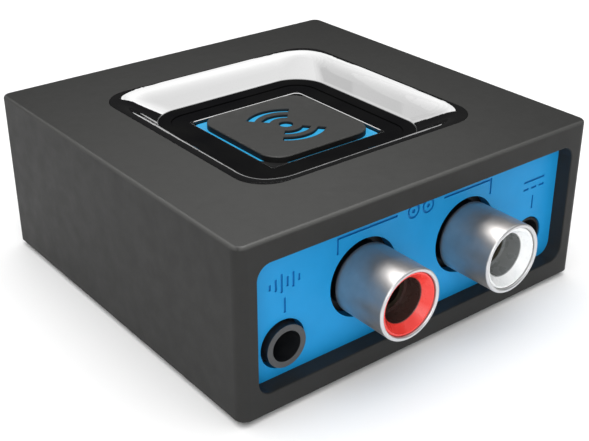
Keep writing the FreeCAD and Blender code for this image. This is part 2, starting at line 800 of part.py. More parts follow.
def make_lamps():
    """Four surface-mount lamps around the switch, inside the shroud."""
    lamp_top = board_top + dim("lamp_height")
    for row, ahead in (("front", -1.0), ("rear", 1.0)):
        for side, way in SIDES.items():
            name = "lamp_%s_%s" % (row, side)
            across = dim("lamp_spot") * way
            back = dim("lamp_spot") * ahead
            wide = (across - dim("lamp_width") / 2, across + dim("lamp_width") / 2)
            deep = (back - dim("lamp_depth") / 2, back + dim("lamp_depth") / 2)
            frame = block(name + "_frame", wide, deep, (board_top, lamp_top))
            cup_depth = dim("lamp_cup_depth")
            cup = rod(name + "_cup", dim("lamp_cup_radius"), (across, back, lamp_top - cup_depth), cup_depth)
            keep(cut(name, frame, [cup]), name)


# Socket panel

# Heights of the marks on the panel above the housing's lower edge
LEADER = (9.7, 11.5)
SOUND_AXIS = 13.3
BRACKET = 15.9
BRACKET_FOOT = 14.0
POWER_LINES = (13.6, 12.6)

# Marks across the panel: half-heights of the bars, ends of the two brackets, places of the rings
SOUND_BARS = (0.35, 0.7, 1.1, 0.6, 0.9, 0.4)
SOUND_PITCH = 0.75
BRACKETS = ((-11.6, -3.1), (11.6, 3.9))
RING_PLACES = (-0.75, 1.45)
RING_RADII = (0.9, 0.62, 0.26)
RING_DROP = 0.2
POWER_HALF = 1.8
POWER_DASHES = 3
POWER_DASH = 0.9
LEGEND_SHIFT = {"aux": 0.3, "power": 0.5}


def draw_legend(sketch):
    """Engraved leader lines and plain pictograms: bars for sound, rings for the pair, a DC line."""
    line = dim("legend_line") / 2

    def upright(across, bottom, top):
        draw_rectangle(sketch, (across - line, across + line), (case_bottom + bottom, case_bottom + top))

    def flat(left, right, height):
        middle = case_bottom + height
        draw_rectangle(sketch, (left, right), (middle - line, middle + line))

    aux = -dim("aux_offset") + LEGEND_SHIFT["aux"]
    upright(aux, *LEADER)
    for number, reach in enumerate(SOUND_BARS):
        shift = (number - (len(SOUND_BARS) - 1) / 2) * SOUND_PITCH
        upright(aux + shift, SOUND_AXIS - reach, SOUND_AXIS + reach)
    for outer, inner in BRACKETS:
        way = math.copysign(1.0, outer)
        flat(min(outer, inner), max(outer, inner), BRACKET)
        upright(outer - line * way, BRACKET_FOOT, BRACKET - line)
    for across in RING_PLACES:
        for radius in RING_RADII:
            draw_circle(sketch, across, case_bottom + BRACKET - RING_DROP, radius)
    power = dim("aux_offset") + LEGEND_SHIFT["power"]
    upright(power, *LEADER)
    line_height, dash_height = POWER_LINES
    flat(power - POWER_HALF, power + POWER_HALF, line_height)
    pitch = (2 * POWER_HALF - POWER_DASH) / (POWER_DASHES - 1)
    for number in range(POWER_DASHES):
        left = power - POWER_HALF + number * pitch
        flat(left, left + POWER_DASH, dash_height)


def make_io_panel():
    """The blue panel behind the window, with one hole for each socket."""
    body = new_body("io_panel")
    outline = sketch_on(body, "panel_outline", "XZ_Plane", -panel_back)
    half = cavity_half - dim("slide_gap")
    up = (cover_top + dim("fit_gap"), ceiling - dim("fit_gap"))
    draw_rectangle(outline, (-half, half), up)
    pad(body, outline, dim("panel_thickness"))
    holes = sketch_on(body, "panel_holes", "XZ_Plane", -panel_front)
    for way in SIDES.values():
        draw_circle(holes, dim("rca_pitch") * (way / 2), rca_axis, dim("rca_hole_radius"))
    draw_circle(holes, -dim("aux_offset"), socket_axis, dim("aux_hole_radius"))
    draw_circle(holes, dim("aux_offset"), socket_axis, dim("dc_hole_radius"))
    pocket(body, holes, dim("panel_thickness"))
    legend = sketch_on(body, "panel_legend", "XZ_Plane", -panel_front)
    draw_legend(legend)
    pocket(body, legend, dim("legend_depth"))
    keep(body, "io_panel")


# Phono sockets, one pair in a shared base

rca_lip = -dim("rca_reach")
insulator_back = socket_front + dim("insulator_seat")
insulator_radius = dim("rca_radius") - dim("rca_wall")
contact_back = socket_front + dim("contact_seat")
contact_radius = dim("rca_pin_bore") + dim("contact_wall")


def make_rca_shell(side, spot):
    """The plated barrel that a plug's collar grips, with a flange held behind the panel."""
    body = new_body("rca_shell_" + side, spot)
    radius = dim("rca_radius")
    flange = radius + dim("rca_flange")
    flange_back = socket_front + dim("rca_flange_depth")
    neck = panel_front - dim("rca_neck_lead")
    profile = [
        (rca_lip, insulator_radius),
        (rca_lip, radius),
        (neck, radius),
        (neck, dim("rca_neck_radius")),
        (socket_front, dim("rca_neck_radius")),
        (socket_front, flange),
        (flange_back, flange),
        (flange_back, insulator_radius),
    ]
    tube = revolve(body, "shell_profile_" + side, profile)
    dress(body, "Fillet", tube, edges_where(tube, forward_level(rca_lip)), dim("rca_edge_round"))
    keep(body, "rca_shell_" + side)


def make_rca_insulator(side, spot):
    """The coloured ring and sleeve inside the barrel, with a funnel into the contact."""
    body = new_body("rca_insulator_" + side, spot)
    front = rca_lip + dim("rca_ring_recess")
    step = rca_lip + dim("insulator_step")
    outer = insulator_radius - dim("seat_gap")
    seat = contact_radius + dim("seat_gap")
    bore = contact_radius + dim("insulator_relief")
    profile = [
        (front, outer - dim("rca_ring_land")),
        (front, outer),
        (insulator_back, outer),
        (insulator_back, seat),
        (step, seat),
        (step, bore),
        (rca_lip + dim("rca_funnel_depth"), bore),
    ]
    sleeve = revolve(body, "insulator_profile_" + side, profile)
    dress(body, "Fillet", sleeve, edges_where(sleeve, forward_level(front)), dim("ring_edge_round"))
    keep(body, "rca_insulator_" + side)


def make_rca_contact(side, spot):
    """The sprung cup for the plug's centre pin, closed at the back, with its solder tail."""
    body = new_body("rca_contact_" + side, spot)
    front = rca_lip + dim("contact_setback")
    floor = contact_back - dim("contact_floor")
    bore = dim("rca_pin_bore")
    profile = [
        (front, bore),
        (front, contact_radius),
        (contact_back, contact_radius),
        (contact_back, 0),
        (floor, 0),
        (floor, bore),
    ]
    revolve(body, "contact_profile_" + side, profile)
    tail = sketch_on(body, "contact_tail_" + side, "XZ_Plane", -contact_back)
    half = dim("tail_width") / 2
    draw_rectangle(tail, (-half, half), (board_top - rca_axis, 0))
    pad(body, tail, dim("tail_depth"))
    keep(body, "rca_contact_" + side)


def make_rca_sockets():
    half = dim("rca_base_half")
    back = -dim("rca_base_back")
    high = (board_top, rca_axis + dim("rca_base_rise"))
    base = block("rca_block", (-half, half), (socket_front, back), high)
    seat = dim("seat_gap")
    steps = (
        ("flange", dim("rca_radius") + dim("rca_flange") + dim("fit_gap"), dim("rca_flange_depth")),
        ("sleeve", insulator_radius, dim("insulator_seat")),
        ("contact", contact_radius + seat, dim("contact_seat")),
    )
    tail_half = dim("tail_width") / 2 + dim("slide_gap")
    tail_front = contact_back - dim("tail_depth") - dim("fit_gap")
    tools = []
    for side, way in SIDES.items():
        across = dim("rca_pitch") * (way / 2)
        spot = (across, 0, rca_axis)
        make_rca_shell(side, spot)
        make_rca_insulator(side, spot)
        make_rca_contact(side, spot)
        for step, radius, reach in steps:
            depth = reach + seat
            start = (across, socket_front + depth, rca_axis)
            tools.append(rod("rca_%s_well_%s" % (step, side), radius, start, depth, forward=True))
        wide = (across - tail_half, across + tail_half)
        tools.append(block("rca_tail_slot_" + side, wide, (tail_front, back), (board_top, rca_axis)))
    keep(cut("rca_base", base, tools), "rca_base")


# Headphone and power sockets

AUX_LEAVES = {
    "aux_tip_contact": (-1.0, -14.5),
    "aux_sleeve_contact": (-1.0, -20.5),
    "aux_ring_contact": (1.0, -17.5),
}
DC_LEAF_START = -17.0


def make_leaf(node, outer, way, start, width, top):
    """A contact strip on a socket's side: a leaf from the board up, with a foot turned outwards."""
    sheet_metal = dim("leaf_sheet")
    across = sorted((outer, outer - sheet_metal * way), key=lambda size: size.value)
    foot = sorted((outer, outer + dim("leaf_toe") * way), key=lambda size: size.value)
    deep = (start, start + width)
    leaf = block(node + "_leaf", across, deep, (board_top, top))
    toe = block(node + "_toe", foot, deep, (board_top, board_top + sheet_metal))
    keep(fuse(node, [leaf, toe]), node)
    return block(node + "_slot", across, deep, (board_top, top))


def make_aux_jack():
    """The 3.5 mm socket: a block on the board whose round collar comes out through the panel."""
    axis = -dim("aux_offset")
    half = dim("aux_half")
    back = -dim("aux_back")
    wide = (axis - half, axis + half)
    block_part = block("aux_block", wide, (socket_front, back), (board_top, socket_top))
    front = -dim("aux_reach")
    collar_start = (axis, socket_front, socket_axis)
    collar = rod("aux_collar", dim("aux_collar_radius"), collar_start, socket_front - front, True)
    blank = fuse("aux_blank", [block_part, collar])
    bore_back = -dim("aux_bore_back")
    bore = rod("aux_bore", dim("aux_bore"), (axis, bore_back, socket_axis), bore_back - front, True)
    top = socket_top - dim("leaf_drop")
    slots = []
    for node, (way, start) in AUX_LEAVES.items():
        slots.append(make_leaf(node, axis + half * way, way, start, dim("leaf_width"), top))
    keep(cut("aux_jack_body", blank, [bore] + slots), "aux_jack_body")


def make_dc_jack():
    """The power socket, with a wider mouth in front of its centre pin."""
    axis = dim("aux_offset")
    half = dim("dc_half")
    back = -dim("dc_back")
    mouth_front = panel_front + dim("dc_mouth_lead")
    mouth_back = panel_back + dim("dc_mouth_depth")
    bore_back = back - dim("dc_floor")
    wide = (axis - half, axis + half)
    body = block("dc_block", wide, (socket_front, back), (board_top, socket_top))

    def bored(name, radius, rear, front):
        return rod(name, radius, (axis, rear, socket_axis), rear - front, True)

    nozzle = bored("dc_nozzle", dim("dc_mouth") + dim("dc_wall"), socket_front, mouth_front)
    blank = fuse("dc_blank", [body, nozzle])
    tools = [
        bored("dc_mouth", dim("dc_mouth"), mouth_back, mouth_front),
        bored("dc_bore", dim("dc_bore"), bore_back, mouth_back),
        bored("dc_pin_hole", dim("dc_pin_radius"), back, bore_back),
    ]
    top = socket_top - dim("leaf_drop")
    width = dim("dc_leaf_width")
    tools.append(make_leaf("dc_spring_contact", axis + half, 1.0, DC_LEAF_START, width, top))
    keep(cut("dc_jack_body", blank, tools), "dc_jack_body")

    tail_back = back + dim("tail_depth")
    tail_half = dim("tail_width") / 2
    pin = bored("dc_pin_rod", dim("dc_pin_radius"), tail_back, mouth_back + dim("dc_pin_setback"))
    tail_wide = (axis - tail_half, axis + tail_half)
    tail_deep = (back + dim("fit_gap"), tail_back)
    tail = block("dc_pin_tail", tail_wide, tail_deep, (board_top, socket_axis + tail_half))
    keep(fuse("dc_center_pin", [pin, tail]), "dc_center_pin")


# Circuit board and what stands on it


def make_main_board():
    body = new_body("main_board")
    outline = sketch_on(body, "board_outline", "XY_Plane", board_bottom)
    half = dim("board_half")
    draw_rectangle(outline, (-half, half), (-dim("board_front"), half))
    pad(body, outline, dim("board_thickness"))
    holes = sketch_on(body, "board_holes", "XY_Plane", board_top)
    draw_bosses(holes, dim("spigot_radius") + dim("slide_gap"))
    pocket(body, holes, dim("board_thickness"))
    keep(body, "main_board")


CAN_ACROSS = (-15.0, -2.0)
CAN_DEEP = (12.2, 21.8)


def make_shield_can():
    """The folded screen over the radio chip, open below."""
    body = new_body("shield_can")
    sheet_metal = dim("can_sheet")
    can = sketch_on(body, "can_outline", "XY_Plane", board_top)
    draw_rounded(can, CAN_ACROSS, CAN_DEEP, dim("can_corner_radius"))
    pad(body, can, dim("can_height"))
    inside = sketch_on(body, "can_inside", "XY_Plane", board_top)
    across = (sheet_metal + CAN_ACROSS[0], CAN_ACROSS[1] - sheet_metal)
    deep = (sheet_metal + CAN_DEEP[0], CAN_DEEP[1] - sheet_metal)
    draw_rounded(inside, across, deep, dim("can_corner_radius") - sheet_metal)
    pocket(body, inside, dim("can_height") - sheet_metal, flip=True)
    keep(body, "shield_can")


# Plain packages: low X, Y corner, size in X and Y, and height above the board
PACKAGES = {
    "bluetooth_chip": (-12.0, 14.0, 7.0, 6.0, 0.9),
    "audio_codec_chip": (2.0, 12.5, 5.0, 5.0, 0.85),
    "clock_crystal": (9.0, 12.5, 3.2, 2.5, 0.8),
    "chip_antenna": (3.0, 20.3, 7.0, 2.0, 1.2),
    "voltage_regulator": (12.5, -6.0, 3.5, 6.5, 1.6),
    "power_inductor": (12.5, 3.0, 4.0, 4.0, 2.0),
}

CAPACITOR_SPOTS = {
    "output_capacitor_left": (-15.5, -1.0),
    "output_capacitor_right": (-15.5, 6.0),
    "supply_capacitor": (15.5, 12.0),
}


def make_chips():
    for node, (left, front, width, depth, height) in PACKAGES.items():
        across = (left, left + width)
        keep(block(node, across, (front, front + depth), (board_top, board_top + height)), node)


def make_capacitors():
    """Electrolytic capacitors: a can on a square foot."""
    half = dim("capacitor_foot_half")
    foot_top = board_top + dim("capacitor_foot_height")
    for node, (across, row) in CAPACITOR_SPOTS.items():
        wide = (across - half, across + half)
        deep = (row - half, row + half)
        foot = block(node + "_foot", wide, deep, (board_top, foot_top))
        spot = (across, row, foot_top)
        can = rod(node + "_can", dim("capacitor_radius"), spot, dim("capacitor_height"))
        keep(fuse(node, [foot, can]), node)


def check_document():
    doc.recompute()
    for item in doc.Objects:
        if "Invalid" in item.State or "Error" in item.State:
            raise RuntimeError(item.Name + " failed: " + ", ".join(item.State))
    for piece in PIECES:
        shape = piece.Shape
        if shape.isNull() or not shape.isValid() or not shape.Solids:
            raise RuntimeError(piece.Label + " has no valid solid")


def export_pieces():
    os.makedirs("parts", exist_ok=True)
    for piece in PIECES:
        piece.Shape.exportStep("parts/" + piece.Label + ".step")
        box = piece.Shape.BoundBox
        print("%-24s %8.1f mm3  z %.2f to %.2f" % (piece.Label, piece.Shape.Volume, box.ZMin, box.ZMax))


def build():
    make_main_housing()
    make_base_cover()
    make_foot_pad()
    make_housing_screws()
    make_dish_bezel()
    make_button_cap()
    make_button_diffuser()
    make_light_shroud()
    make_switch()
    make_lamps()
    make_io_panel()
    make_rca_sockets()
    make_aux_jack()
    make_dc_jack()
    make_main_board()
    make_shield_can()
    make_chips()
    make_capacitors()
    check_document()
    export_pieces()


build()
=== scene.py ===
import math

import bpy
from mathutils import Matrix, Vector


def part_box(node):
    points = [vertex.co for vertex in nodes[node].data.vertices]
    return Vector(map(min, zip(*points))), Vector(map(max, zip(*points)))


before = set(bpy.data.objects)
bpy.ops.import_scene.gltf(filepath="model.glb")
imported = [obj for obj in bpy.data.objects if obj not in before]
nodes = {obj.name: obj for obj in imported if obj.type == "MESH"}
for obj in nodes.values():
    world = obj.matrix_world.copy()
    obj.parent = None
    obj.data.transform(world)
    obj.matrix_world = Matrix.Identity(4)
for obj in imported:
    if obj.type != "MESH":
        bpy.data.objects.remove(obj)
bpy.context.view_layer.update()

# The finishes give sizes and places in mm; the camera, floor and lamps are in metres
MM = 0.001

# Corners of the case, read from the frame
case_low, case_high = [Vector(corner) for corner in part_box("main_housing")]
case_middle = (case_low + case_high) / 2

# Depth of the dish, half-width of the button's opening and thickness of its cap, in mm
DISH_DEPTH = 2.52
OPENING_HALF = 8.4
CAP_THICKNESS = 0.8

CASE_SHADE = (0.027, 0.027, 0.026, 1)
# Paler colour painted on the case's top edge as a highlight
PAINTED_EDGE_HIGHLIGHT = (0.055, 0.055, 0.053, 1)
# Painted shade for the button cap's sides and the walls of its sign
PAINTED_SIDE_SHADE = (0.006, 0.006, 0.006, 1)
DARK_SHADE = (0.011, 0.011, 0.0115, 1)
GREY_SHADE = (0.05, 0.05, 0.052, 1)


# ---------------------------------------------------------------- materials


def low_mm(node, axis):
    """Where a node begins along an axis, in mm."""
    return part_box(node)[0]["XYZ".index(axis)] / MM


def high_mm(node, axis):
    """Where a node ends along an axis, in mm."""
    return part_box(node)[1]["XYZ".index(axis)] / MM


def linear(red, green, blue):
    """A colour given as 8-bit screen values, in linear light."""
    values = []
    for part in (red, green, blue):
        share = part / 255
        values.append(share / 12.92 if share <= 0.04045 else ((share + 0.055) / 1.055) ** 2.4)
    return (*values, 1.0)


def scaled(shade, factor):
    """A shade made lighter or darker, no brighter than white."""
    return (*[min(1.0, part * factor) for part in shade[:3]], 1.0)


class Finish:
    """A Principled material whose colour, roughness and bump are driven by procedural textures."""

    # A Mix node's two inputs and its output, for plain numbers and for colours
    MIX_SOCKETS = {"FLOAT": (2, 3, 0), "RGBA": (6, 7, 2)}

    def __init__(self, name, **sockets):
        self.material = bpy.data.materials.new(name)
        self.material.use_nodes = True
        self.tree = self.material.node_tree
        self.shader = self.tree.nodes["Principled BSDF"]
        for socket, value in sockets.items():
            self.shader.inputs[socket.replace("_", " ")].default_value = value
        self.place = self.tree.nodes.new("ShaderNodeTexCoord").outputs["Object"]

    def node(self, kind, **settings):
        """Adds a node to the material."""
        made = self.tree.nodes.new(kind)
        for key, value in settings.items():
            setattr(made, key, value)
        return made

    def feed(self, socket, value):
        """Links another node's output to a socket, or sets a plain value on it."""
        if hasattr(value, "is_output"):
            self.tree.links.new(value, socket)
        else:
            socket.default_value = value

    def drive(self, socket, output):
        """Links an output to one of the shader's own sockets."""
        self.tree.links.new(output, self.shader.inputs[socket])

    def noise(self, size_mm, detail=2.0, stretch=(1, 1, 1)):
        """Noise whose blobs are about size_mm across."""
        mapping = self.node("ShaderNodeMapping")
        mapping.inputs["Scale"].default_value = [share / (size_mm * MM) for share in stretch]
        self.feed(mapping.inputs["Vector"], self.place)
        texture = self.node("ShaderNodeTexNoise")
        texture.inputs["Scale"].default_value = 1.0
        texture.inputs["Detail"].default_value = detail
        self.feed(texture.inputs["Vector"], mapping.outputs["Vector"])
        return texture.outputs["Fac"]

    def spread(self, factor, low, high, near=0.3, far=0.7):
        """Maps a factor from near..far to low..high; noise seldom leaves 0.3..0.7."""
        scale = self.node("ShaderNodeMapRange")
        scale.inputs["From Min"].default_value = near
        scale.inputs["From Max"].default_value = far
        scale.inputs["To Min"].default_value = low
        scale.inputs["To Max"].default_value = high
        self.feed(scale.inputs["Value"], factor)
        return scale.outputs["Result"]

    def ramp(self, factor, low, high):
        """Maps a factor from 0..1 to low..high."""
        return self.spread(factor, low, high, near=0.0, far=1.0)

    def blend(self, factor, first, second, kind="RGBA"):
        """Goes from the first colour or number to the second as a factor goes from 0 to 1."""
        first_input, second_input, output = self.MIX_SOCKETS[kind]
        mix = self.node("ShaderNodeMix", data_type=kind)
        self.feed(mix.inputs[0], factor)
        self.feed(mix.inputs[first_input], first)
        self.feed(mix.inputs[second_input], second)
        return mix.outputs[output]

    def maths(self, operation, *values):
        """Works out one sum on outputs or plain numbers."""
        made = self.node("ShaderNodeMath", operation=operation)
        for socket, value in zip(made.inputs, values):
            self.feed(socket, value)
        return made.outputs[0]

    def places(self):
        """The X, Y and Z outputs of the point being shaded."""
        split = self.node("ShaderNodeSeparateXYZ")
        self.feed(split.inputs["Vector"], self.place)
        return split.outputs

    def along(self, axis, start_mm, end_mm):
        """A factor that goes from 0 to 1 between two places along an axis."""
        return self.spread(self.places()[axis], 0.0, 1.0, near=start_mm * MM, far=end_mm * MM)

    def outward(self, start_mm, end_mm):
        """A factor that goes from 0 to 1 between two square rings round the object's middle."""
        places = self.places()
        reach = self.maths("MAXIMUM", *[self.maths("ABSOLUTE", places[axis]) for axis in "XY"])
        return self.spread(reach, 0.0, 1.0, near=start_mm * MM, far=end_mm * MM)

    def colours(self, first, second, size_mm):
        """Mottles the surface between two shades; returns the colour for further blending."""
        share = self.spread(self.noise(size_mm, detail=3.0), 0.0, 1.0)
        mottled = self.blend(share, first, second)
        self.drive("Base Color", mottled)
        return mottled

    def roughness(self, low, high, size_mm, detail=4.0, stretch=(1, 1, 1)):
        """Lets the roughness wander between low and high."""
        self.drive("Roughness", self.spread(self.noise(size_mm, detail, stretch), low, high))

    def bump(self, size_mm, height_mm, strength, detail=2.0, stretch=(1, 1, 1)):
        """Gives the surface a fine relief."""
        relief = self.node("ShaderNodeBump")
        relief.inputs["Strength"].default_value = strength
        relief.inputs["Distance"].default_value = height_mm * MM
        self.feed(relief.inputs["Height"], self.noise(size_mm, detail, stretch))
        self.drive("Normal", relief.outputs["Normal"])


def matte_plastic(name, shade, rough, grain_mm=0.16, relief_mm=0.012):
    """A fine-textured matte finish and its colour output."""
    finish = Finish(name, IOR=1.46, Specular_IOR_Level=0.2)
    base = finish.colours(shade, scaled(shade, 0.93), size_mm=0.8)
    finish.roughness(rough - 0.04, rough + 0.04, size_mm=2.0)
    finish.bump(grain_mm, relief_mm, strength=0.6, detail=3.0)
    return finish, base


def matte_moulding(name, shade, rough, **texture):
    """Plain matte plastic."""
    finish, _ = matte_plastic(name, shade, rough, **texture)
    return finish.material


def case_moulding():
    """The case's matte plastic, with a painted highlight along the top's outer edge."""
    highlight_starts, highlight_full = 0.42, 0.25
    finish, base = matte_plastic("case_matte", CASE_SHADE, rough=0.52)
    half, top = high_mm("main_housing", "X"), high_mm("main_housing", "Z")
    # A thin band round the top's outer edge is painted paler, as a highlight
    upper = finish.along("Z", top - highlight_starts, top - highlight_full)
    outer = finish.outward(half - highlight_starts, half - highlight_full)
    edge = finish.maths("MULTIPLY", upper, outer)
    finish.drive("Base Color", finish.blend(edge, base, PAINTED_EDGE_HIGHLIGHT))
    return finish.material


def cap_moulding():
    """The button cap's matte plastic, with painted shade down its sides and inside its sign."""
    finish, base = matte_plastic("cap_matte", CASE_SHADE, rough=0.5)
    top = high_mm("button_cap", "Z")
    upper = finish.along("Z", top - 0.16, top - 0.08)
    # Below its top face the cap is painted dark, as shade
    finish.drive("Base Color", finish.blend(upper, PAINTED_SIDE_SHADE, base))
    return finish.material


def gloss_black():
    """Polished black plastic of the dish, satin on its floor but for the opening's edge."""
    finish = Finish("dish_gloss", IOR=1.6)
    finish.colours((0.0009, 0.0009, 0.0010, 1), (0.0013, 0.0013, 0.0013, 1), size_mm=5.0)
    floor = high_mm("dish_bezel", "Z") - DISH_DEPTH
    wall = finish.along("Z", floor + 0.10, floor + 0.18)
    brink = finish.outward(OPENING_HALF + 0.16, OPENING_HALF + 0.12)
    polish = finish.maths("MAXIMUM", wall, brink)
    finish.drive("Specular IOR Level", finish.ramp(polish, 0.0, 0.5))
    satin_rough = 0.45
    polished_rough = finish.spread(finish.noise(size_mm=2.5, detail=4.0), 0.02, 0.05)
    finish.drive("Roughness", finish.blend(polish, satin_rough, polished_rough, kind="FLOAT"))
    finish.bump(size_mm=9.0, height_mm=0.002, strength=0.3)
    return finish.material


def blue_panel():
    """Satin blue plastic, darker in the engraved lines."""
    finish = Finish("panel_blue", IOR=1.46, Specular_IOR_Level=0.25)
    base = finish.colours(linear(26, 147, 211), linear(30, 151, 216), size_mm=3.0)
    front = low_mm("io_panel", "Y")
    engraved = finish.along("Y", front + 0.04, front + 0.14)
    finish.drive("Base Color", finish.blend(engraved, base, linear(30, 122, 188)))
    finish.roughness(0.45, 0.55, size_mm=2.0)
    finish.bump(size_mm=0.14, height_mm=0.006, strength=0.5, detail=3.0)
    return finish.material


def socket_ring(name, first, second, painted_bore_shade):
    """Gloss plastic of the phono rings, with painted shade in the bore behind the funnel."""
    finish = Finish(name, IOR=1.5)
    base = finish.colours(linear(*first), linear(*second), size_mm=1.6)
    front = low_mm("rca_insulator_left", "Y")
    behind = finish.along("Y", front + 0.94, front + 1.02)
    # Behind the funnel the ring is painted dark, as shade in the bore
    finish.drive("Base Color", finish.blend(behind, base, linear(*painted_bore_shade)))
    finish.roughness(0.22, 0.36, size_mm=0.9)
    finish.bump(size_mm=0.6, height_mm=0.006, strength=0.35, detail=3.0)
    return finish.material


def plated_metal(name, shade, low, high):
    """Plated or plain metal with fine scuffs, its roughness between low and high."""
    finish = Finish(name, Metallic=1.0)
    finish.colours(shade, scaled(shade, 1.12), size_mm=1.5)
    finish.roughness(low, high, size_mm=1.2, detail=5.0)
    finish.bump(size_mm=0.35, height_mm=0.003, strength=0.4, detail=4.0)
    return finish.material


def barrel_plate():
    """Satin nickel, with a painted highlight at the lip, and dark behind the panel."""
    drawn = (1, 0.25, 1)
    finish = Finish("barrel_plate", Metallic=0.8)
    front, back = low_mm("rca_shell_left", "Y"), high_mm("rca_shell_left", "Y")
    satin = finish.colours((0.41, 0.39, 0.38, 1), (0.47, 0.45, 0.435, 1), size_mm=1.5)
    lip_highlight = finish.along("Y", front + 0.28, front + 0.12)
    behind = finish.along("Y", back - 2.6, back - 2.3)
    # The lip's paler colour is a painted highlight
    shade = finish.blend(lip_highlight, satin, (0.62, 0.62, 0.63, 1))
    shade = finish.blend(behind, shade, (0.012, 0.012, 0.013, 1))
    finish.drive("Base Color", shade)
    finish.roughness(0.34, 0.42, size_mm=1.2, detail=5.0, stretch=drawn)
    finish.bump(size_mm=0.35, height_mm=0.003, strength=0.4, detail=4.0, stretch=drawn)
    return finish.material


def socket_collar():
    """Black plastic of the 3.5 mm collar, with a painted highlight round its front edge."""
    finish = Finish("collar_black", IOR=1.46, Specular_IOR_Level=0.3)
    front = low_mm("aux_jack_body", "Y")
    base = finish.colours((0.010, 0.011, 0.013, 1), (0.014, 0.015, 0.017, 1), size_mm=0.8)
    edge = finish.along("Y", front + 0.10, front + 0.02)
    # The paler ring at the front edge is a painted highlight
    finish.drive("Base Color", finish.blend(edge, base, (0.075, 0.077, 0.08, 1)))
    finish.roughness(0.32, 0.42, size_mm=1.0)
    finish.bump(size_mm=0.2, height_mm=0.006, strength=0.5, detail=3.0)
    return finish.material


def lit_diffuser():
    """Blue plastic that glows from just below the cap's underside upwards, and is dark below that."""
    finish = Finish("button_blue", IOR=1.5)
    underside = high_mm("button_cap", "Z") - CAP_THICKNESS
    lit = finish.along("Z", underside - 0.14, underside - 0.04)
    base = finish.colours(linear(38, 150, 200), linear(30, 135, 190), size_mm=1.8)
    finish.drive("Base Color", finish.blend(lit, linear(12, 45, 66), base))
    finish.drive("Emission Strength", finish.ramp(lit, 0.0, 0.62))
    share = finish.spread(finish.noise(size_mm=3.0), 0.0, 1.0)
    glow = finish.blend(share, linear(58, 172, 218), linear(40, 155, 205))
    finish.drive("Emission Color", glow)
    finish.roughness(0.3, 0.42, size_mm=1.0)
    finish.bump(size_mm=0.4, height_mm=0.006, strength=0.3)
    return finish.material


def rubber():
    """Soft black rubber of the foot."""
    finish = Finish("foot_rubber_finish", IOR=1.5)
    finish.colours((0.014, 0.014, 0.014, 1), (0.022, 0.022, 0.022, 1), size_mm=1.2)
    finish.roughness(0.62, 0.78, size_mm=1.5)
    finish.bump(size_mm=0.25, height_mm=0.03, strength=0.7, detail=4.0)
    return finish.material


def solder_mask():
    """Green lacquer of the circuit board."""
    finish = Finish("board_green", IOR=1.5, Coat_Weight=0.4, Coat_Roughness=0.2)
    finish.colours((0.006, 0.09, 0.03, 1), (0.01, 0.13, 0.05, 1), size_mm=0.9)
    finish.roughness(0.3, 0.42, size_mm=1.0)
    finish.bump(size_mm=0.8, height_mm=0.02, strength=0.5)
    return finish.material


brass = plated_metal("contact_brass_finish", (0.10, 0.085, 0.06, 1), 0.35, 0.5)
tin = plated_metal("tin_finish", (0.58, 0.58, 0.57, 1), 0.25, 0.4)
resin = matte_moulding("resin_black", DARK_SHADE, rough=0.42, grain_mm=0.2, relief_mm=0.01)
epoxy = matte_moulding("chip_black", DARK_SHADE, rough=0.55, grain_mm=0.1, relief_mm=0.01)
pale = matte_moulding("moulded_white", (0.72, 0.72, 0.70, 1), rough=0.45)
ferrite = matte_moulding("ferrite_grey", GREY_SHADE, rough=0.7, grain_mm=0.15, relief_mm=0.03)

# Starts of node names and their materials; where two starts fit a node, the longer comes first
FINISHES = {
    "main_housing": case_moulding(),
    "base_cover": matte_moulding("cover_matte", CASE_SHADE, rough=0.52),
    "foot_pad": rubber(),
    "housing_screws": plated_metal("screw_black", GREY_SHADE, 0.3, 0.45),
    "dish_bezel": gloss_black(),
    "button_cap": cap_moulding(),
    "button_diffuser": lit_diffuser(),
    "io_panel": blue_panel(),
    # Each ring's third colour is the painted shade of its bore
    "rca_insulator_left": socket_ring("ring_red", (240, 60, 52), (247, 70, 62), (68, 50, 46)),
    "rca_insulator_right": socket_ring("ring_pale", (250, 251, 251), (242, 245, 246), (134, 137, 137)),
    "rca_shell": barrel_plate(),
    "rca_contact": brass,
    "rca_base": resin,
    "aux_jack_body": socket_collar(),
    "aux_": brass,
    "dc_jack_body": resin,
    "dc_": brass,
    "light_shroud": pale,
    "lamp_": pale,
    "switch_base": resin,
    "switch_plunger": resin,
    "switch_frame": tin,
    "switch_dome": tin,
    "main_board": solder_mask(),
    "shield_can": tin,
    "bluetooth_chip": epoxy,
    "audio_codec_chip": epoxy,
    "voltage_regulator": epoxy,
    "clock_crystal": tin,
    "chip_antenna": matte_moulding("ceramic_white", (0.6, 0.59, 0.55, 1), rough=0.35),
    "power_inductor": ferrite,
    "output_capacitor": tin,
    "supply_capacitor": tin,
}


def finish_for(node):
    """The material of the first start that fits a node's name."""
    return next(material for start, material in FINISHES.items() if node.startswith(start))


for node, thing in nodes.items():
    thing.data.materials.clear()
    thing.data.materials.append(finish_for(node))


# ---------------------------------------------------------------- camera

CAMERA_AZIMUTH = math.radians(-38.10)
CAMERA_ELEVATION = math.radians(27.74)
CAMERA_ROLL = math.radians(-0.11)
CAMERA_DISTANCE = 141.1 * MM
CAMERA_SHIFT_RIGHT = 1.01 * MM
CAMERA_SHIFT_UP = 4.09 * MM
CAMERA_LENS = 66.15
CAMERA_SENSOR = 36.0


